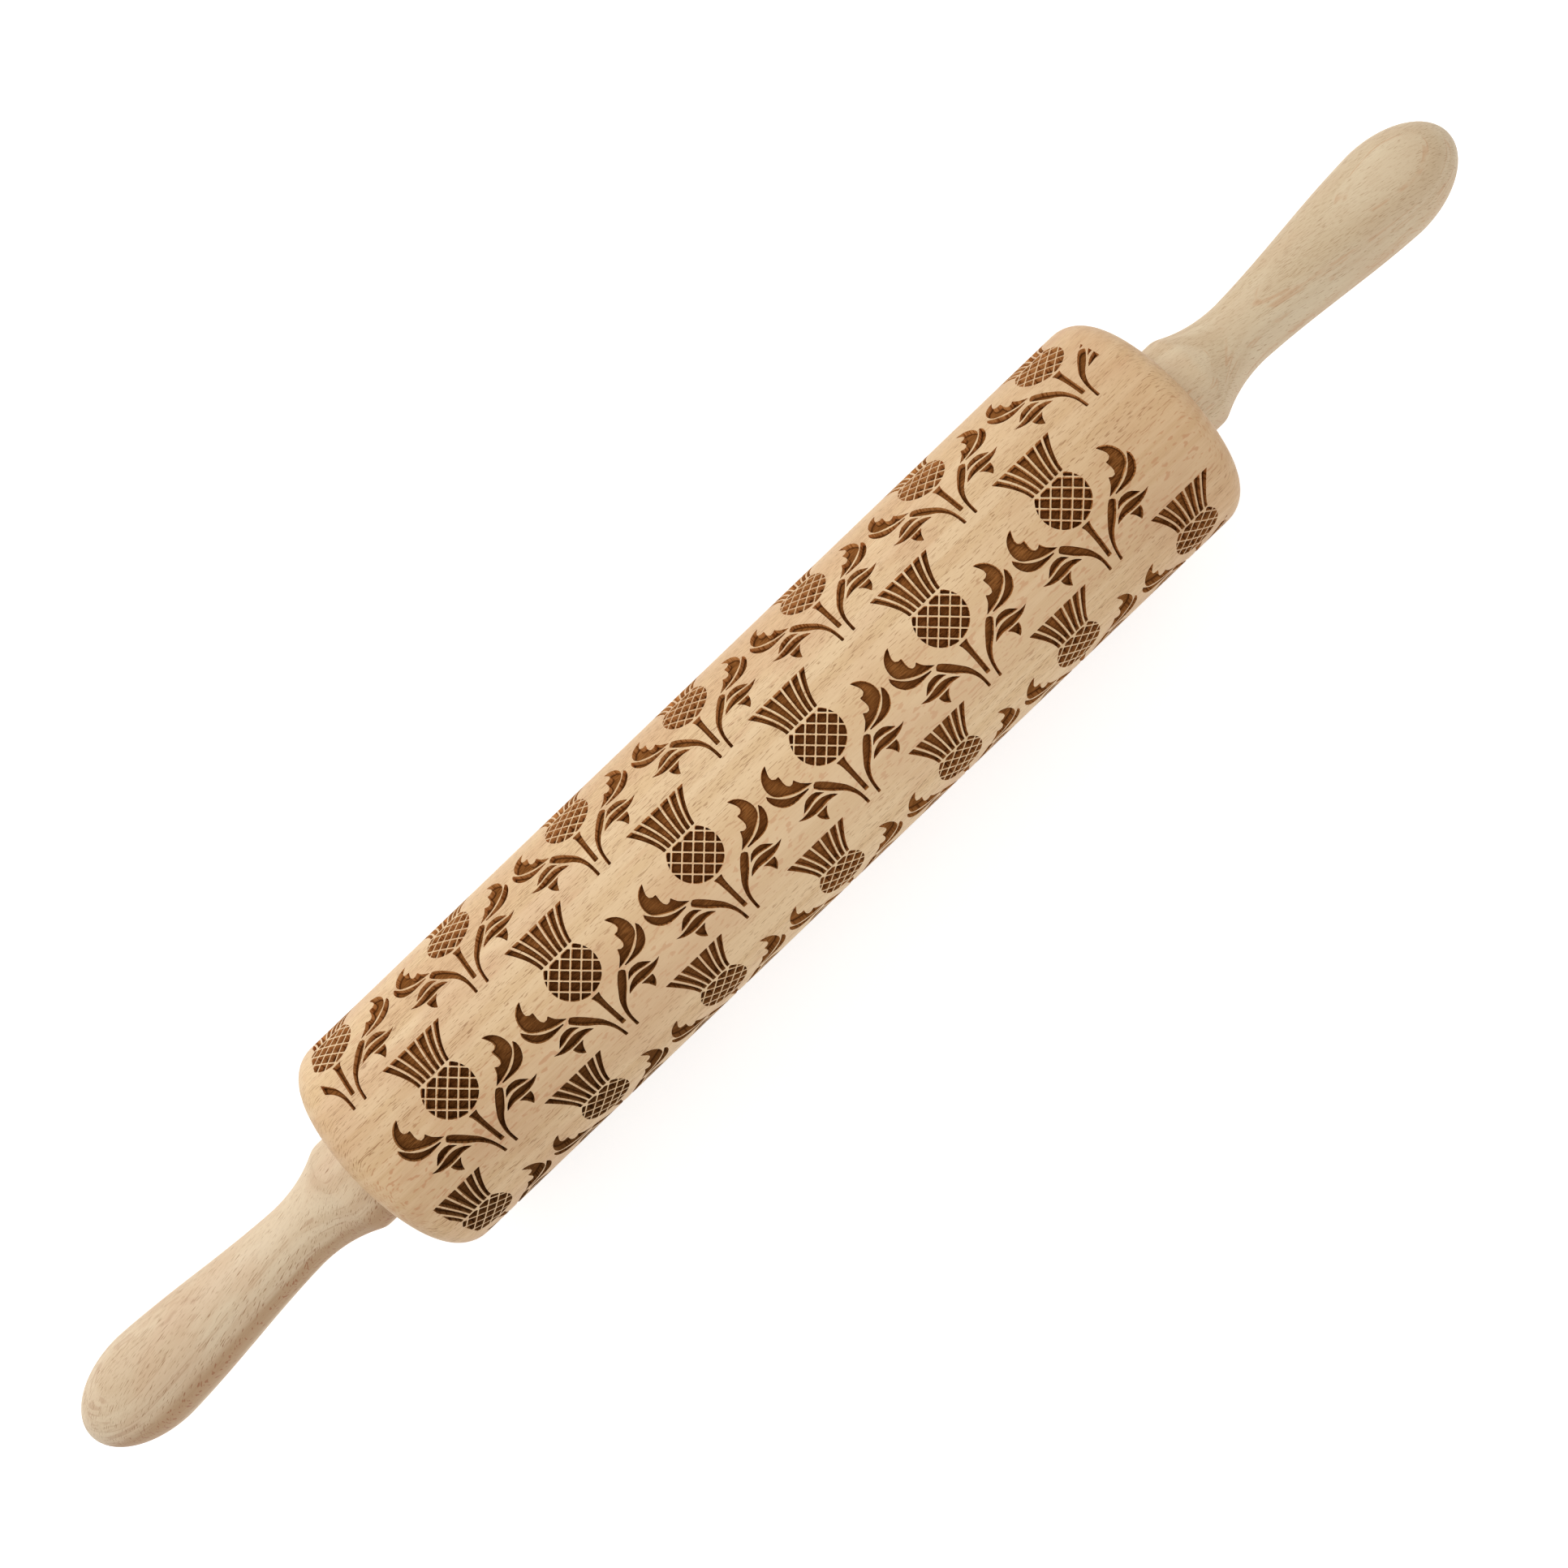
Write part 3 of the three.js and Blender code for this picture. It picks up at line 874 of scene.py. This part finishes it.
def turned_piece(name, profile, flip):
    """A closed piece turned about the pin's axis from a profile of places and radii, whose ends lie on
    the axis. Flipped, it is turned half round to the other end of the pin."""
    points = round_roller(profile[:, None, 0], arcs[None, :], profile[:, None, 1]).reshape(-1, 3)
    grid = np.arange(len(points)).reshape(-1, sides)
    grid[0] = grid[0, 0]
    grid[-1] = grid[-1, 0]
    if flip:
        points[:, :2] *= -1
    return mesh_piece(name, points, grid_triangles(grid[::-1]))


hole_end = axle_high.x / millimetre + seat_gap
insert_end = insert_high.x / millimetre + seat_gap
hole_profile = np.array([
    (hole_end, 0),
    (hole_end, axle_hole),
    (insert_end, axle_hole),
    (insert_end, insert_hole),
    (collar_face, insert_hole),
])
handle_profile = np.vstack([hole_profile, handle_outline() + (collar_face, 0)])
right_tone = {
    "pale": linear(216, 196, 163),
    "warm": linear(205, 182, 147),
    "cloud": linear(199, 168, 132),
    "pore": linear(190, 160, 125),
    "ray": linear(158, 118, 79),
    "flake": linear(192, 144, 104),
    "ring_strength": 0.5,
    "flake_gain": 0.0,
    "haze": linear(200, 156, 118),
    "flake_haze": 0.1,
    "ray_size": (1.8, 1.2, 0.12),
    "ray_limit": 0.6,
    "ray_strength": 0.55,
}
left_tone = {
    "pale": linear(222, 200, 168),
    "warm": linear(209, 183, 149),
    "cloud": linear(202, 164, 128),
    "pore": linear(188, 156, 120),
    "ray": linear(150, 108, 70),
    "flake": linear(152, 96, 56),
    "ring_strength": 0.3,
    "flake_gain": 0.03,
    "haze": linear(162, 122, 78),
    "flake_haze": 0.74,
    "ray_size": (2.2, 1.2, 0.11),
    "ray_limit": 0.625,
    "ray_strength": 0.85,
}
handle_grain_shift = (0, 0.02, 0.03)
wear_size = (5, 1, 1)
for side, flip, tone, ray_turn, grain_tilt in (
    ("right", False, right_tone, np.radians(-75), np.radians(11)),
    ("left", True, left_tone, np.radians(-57), np.radians(-14)),
):
    handle = turned_piece(f"turned_{side}_handle", handle_profile, flip)
    bare = Finish(bpy.data.materials.new(f"{side}_handle_wood"))
    grain, colour = beech(bare, tone, ray_turn, grain_tilt, handle_grain_shift)
    normal = bare.bump(bare.noise(grain, fibre_size), strength=0.3, distance=0.0001)
    roughness = 0.5 + 0.1 * bare.noise(grain, wear_size)
    handle.data.materials.append(bare.material(colour, roughness, normal))
    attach(handle, "spindle")
    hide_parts(f"{side}_handle")

# The pin lies on a wide pale sheet of paper. The world lights it softly from all round, and a large
# lamp stands on each long side, the stronger one on the side that the crowns point to. The sheet and
# the world show white to the camera but light the pin less. The camera looks straight down.
bpy.context.scene.view_settings.view_transform = "Standard"

floor_reach = 3.0
sheet_tone = (0.86, 0.86, 0.86, 1.0)
white = (1.0, 1.0, 1.0, 1.0)
sheet_glow = 0.5
world_light = 0.55
sheet_corners = np.array([(-1, -1, 0), (1, -1, 0), (1, 1, 0), (-1, 1, 0)]) * floor_reach
sheet_mesh = bpy.data.meshes.new("pale_sheet")
sheet_mesh.from_pydata(sheet_corners.tolist(), [], [(0, 1, 2, 3)])
pale_sheet = bpy.data.objects.new("pale_sheet", sheet_mesh)
bpy.context.scene.collection.objects.link(pale_sheet)
paper = Finish(bpy.data.materials.new("pale_sheet"))
lit = paper.node("ShaderNodeBsdfDiffuse", Color=sheet_tone)
glow = paper.node("ShaderNodeEmission", Color=white, Strength=paper.shown() * sheet_glow)
paper.node("ShaderNodeOutputMaterial", Surface=paper.node("ShaderNodeAddShader", i0=lit, i1=glow))
sheet_mesh.materials.append(paper.owner)

studio = Finish(bpy.data.worlds.new("studio"))
strength = world_light + (1 - world_light) * studio.shown()
backdrop = studio.node("ShaderNodeBackground", Color=white, Strength=strength)
studio.node("ShaderNodeOutputWorld", Surface=backdrop)
bpy.context.scene.world = studio.owner

lamp_size = 1.2
key_place = (-0.3, 1.6, 1.0)
key_power = 20
fill_place = (0.3, -1.6, 1.0)
fill_power = 9
for name, place, power in (("key_lamp", key_place, key_power), ("fill_lamp", fill_place, fill_power)):
    lamp = bpy.data.lights.new(name, "AREA")
    lamp.size = lamp_size
    lamp.energy = power
    lamp_piece = bpy.data.objects.new(name, lamp)
    lamp_piece.location = place
    lamp_piece.rotation_euler = (-Vector(place)).to_track_quat("-Z", "Y").to_euler()
    bpy.context.scene.collection.objects.link(lamp_piece)

picture_turn = np.radians(-43.85)
camera_height = 0.405
camera_shift = (0.00246, -0.0023)
lens = 39.4
sensor_width = 36.0
camera_data = bpy.data.cameras.new("camera")
camera_data.sensor_width = sensor_width
camera_data.lens = lens
camera = bpy.data.objects.new("camera", camera_data)
camera.location = (*camera_shift, axis_height + camera_height)
camera.rotation_euler = (0, 0, picture_turn)
bpy.context.scene.collection.objects.link(camera)
bpy.context.scene.camera = camera

bpy.context.view_layer.update()
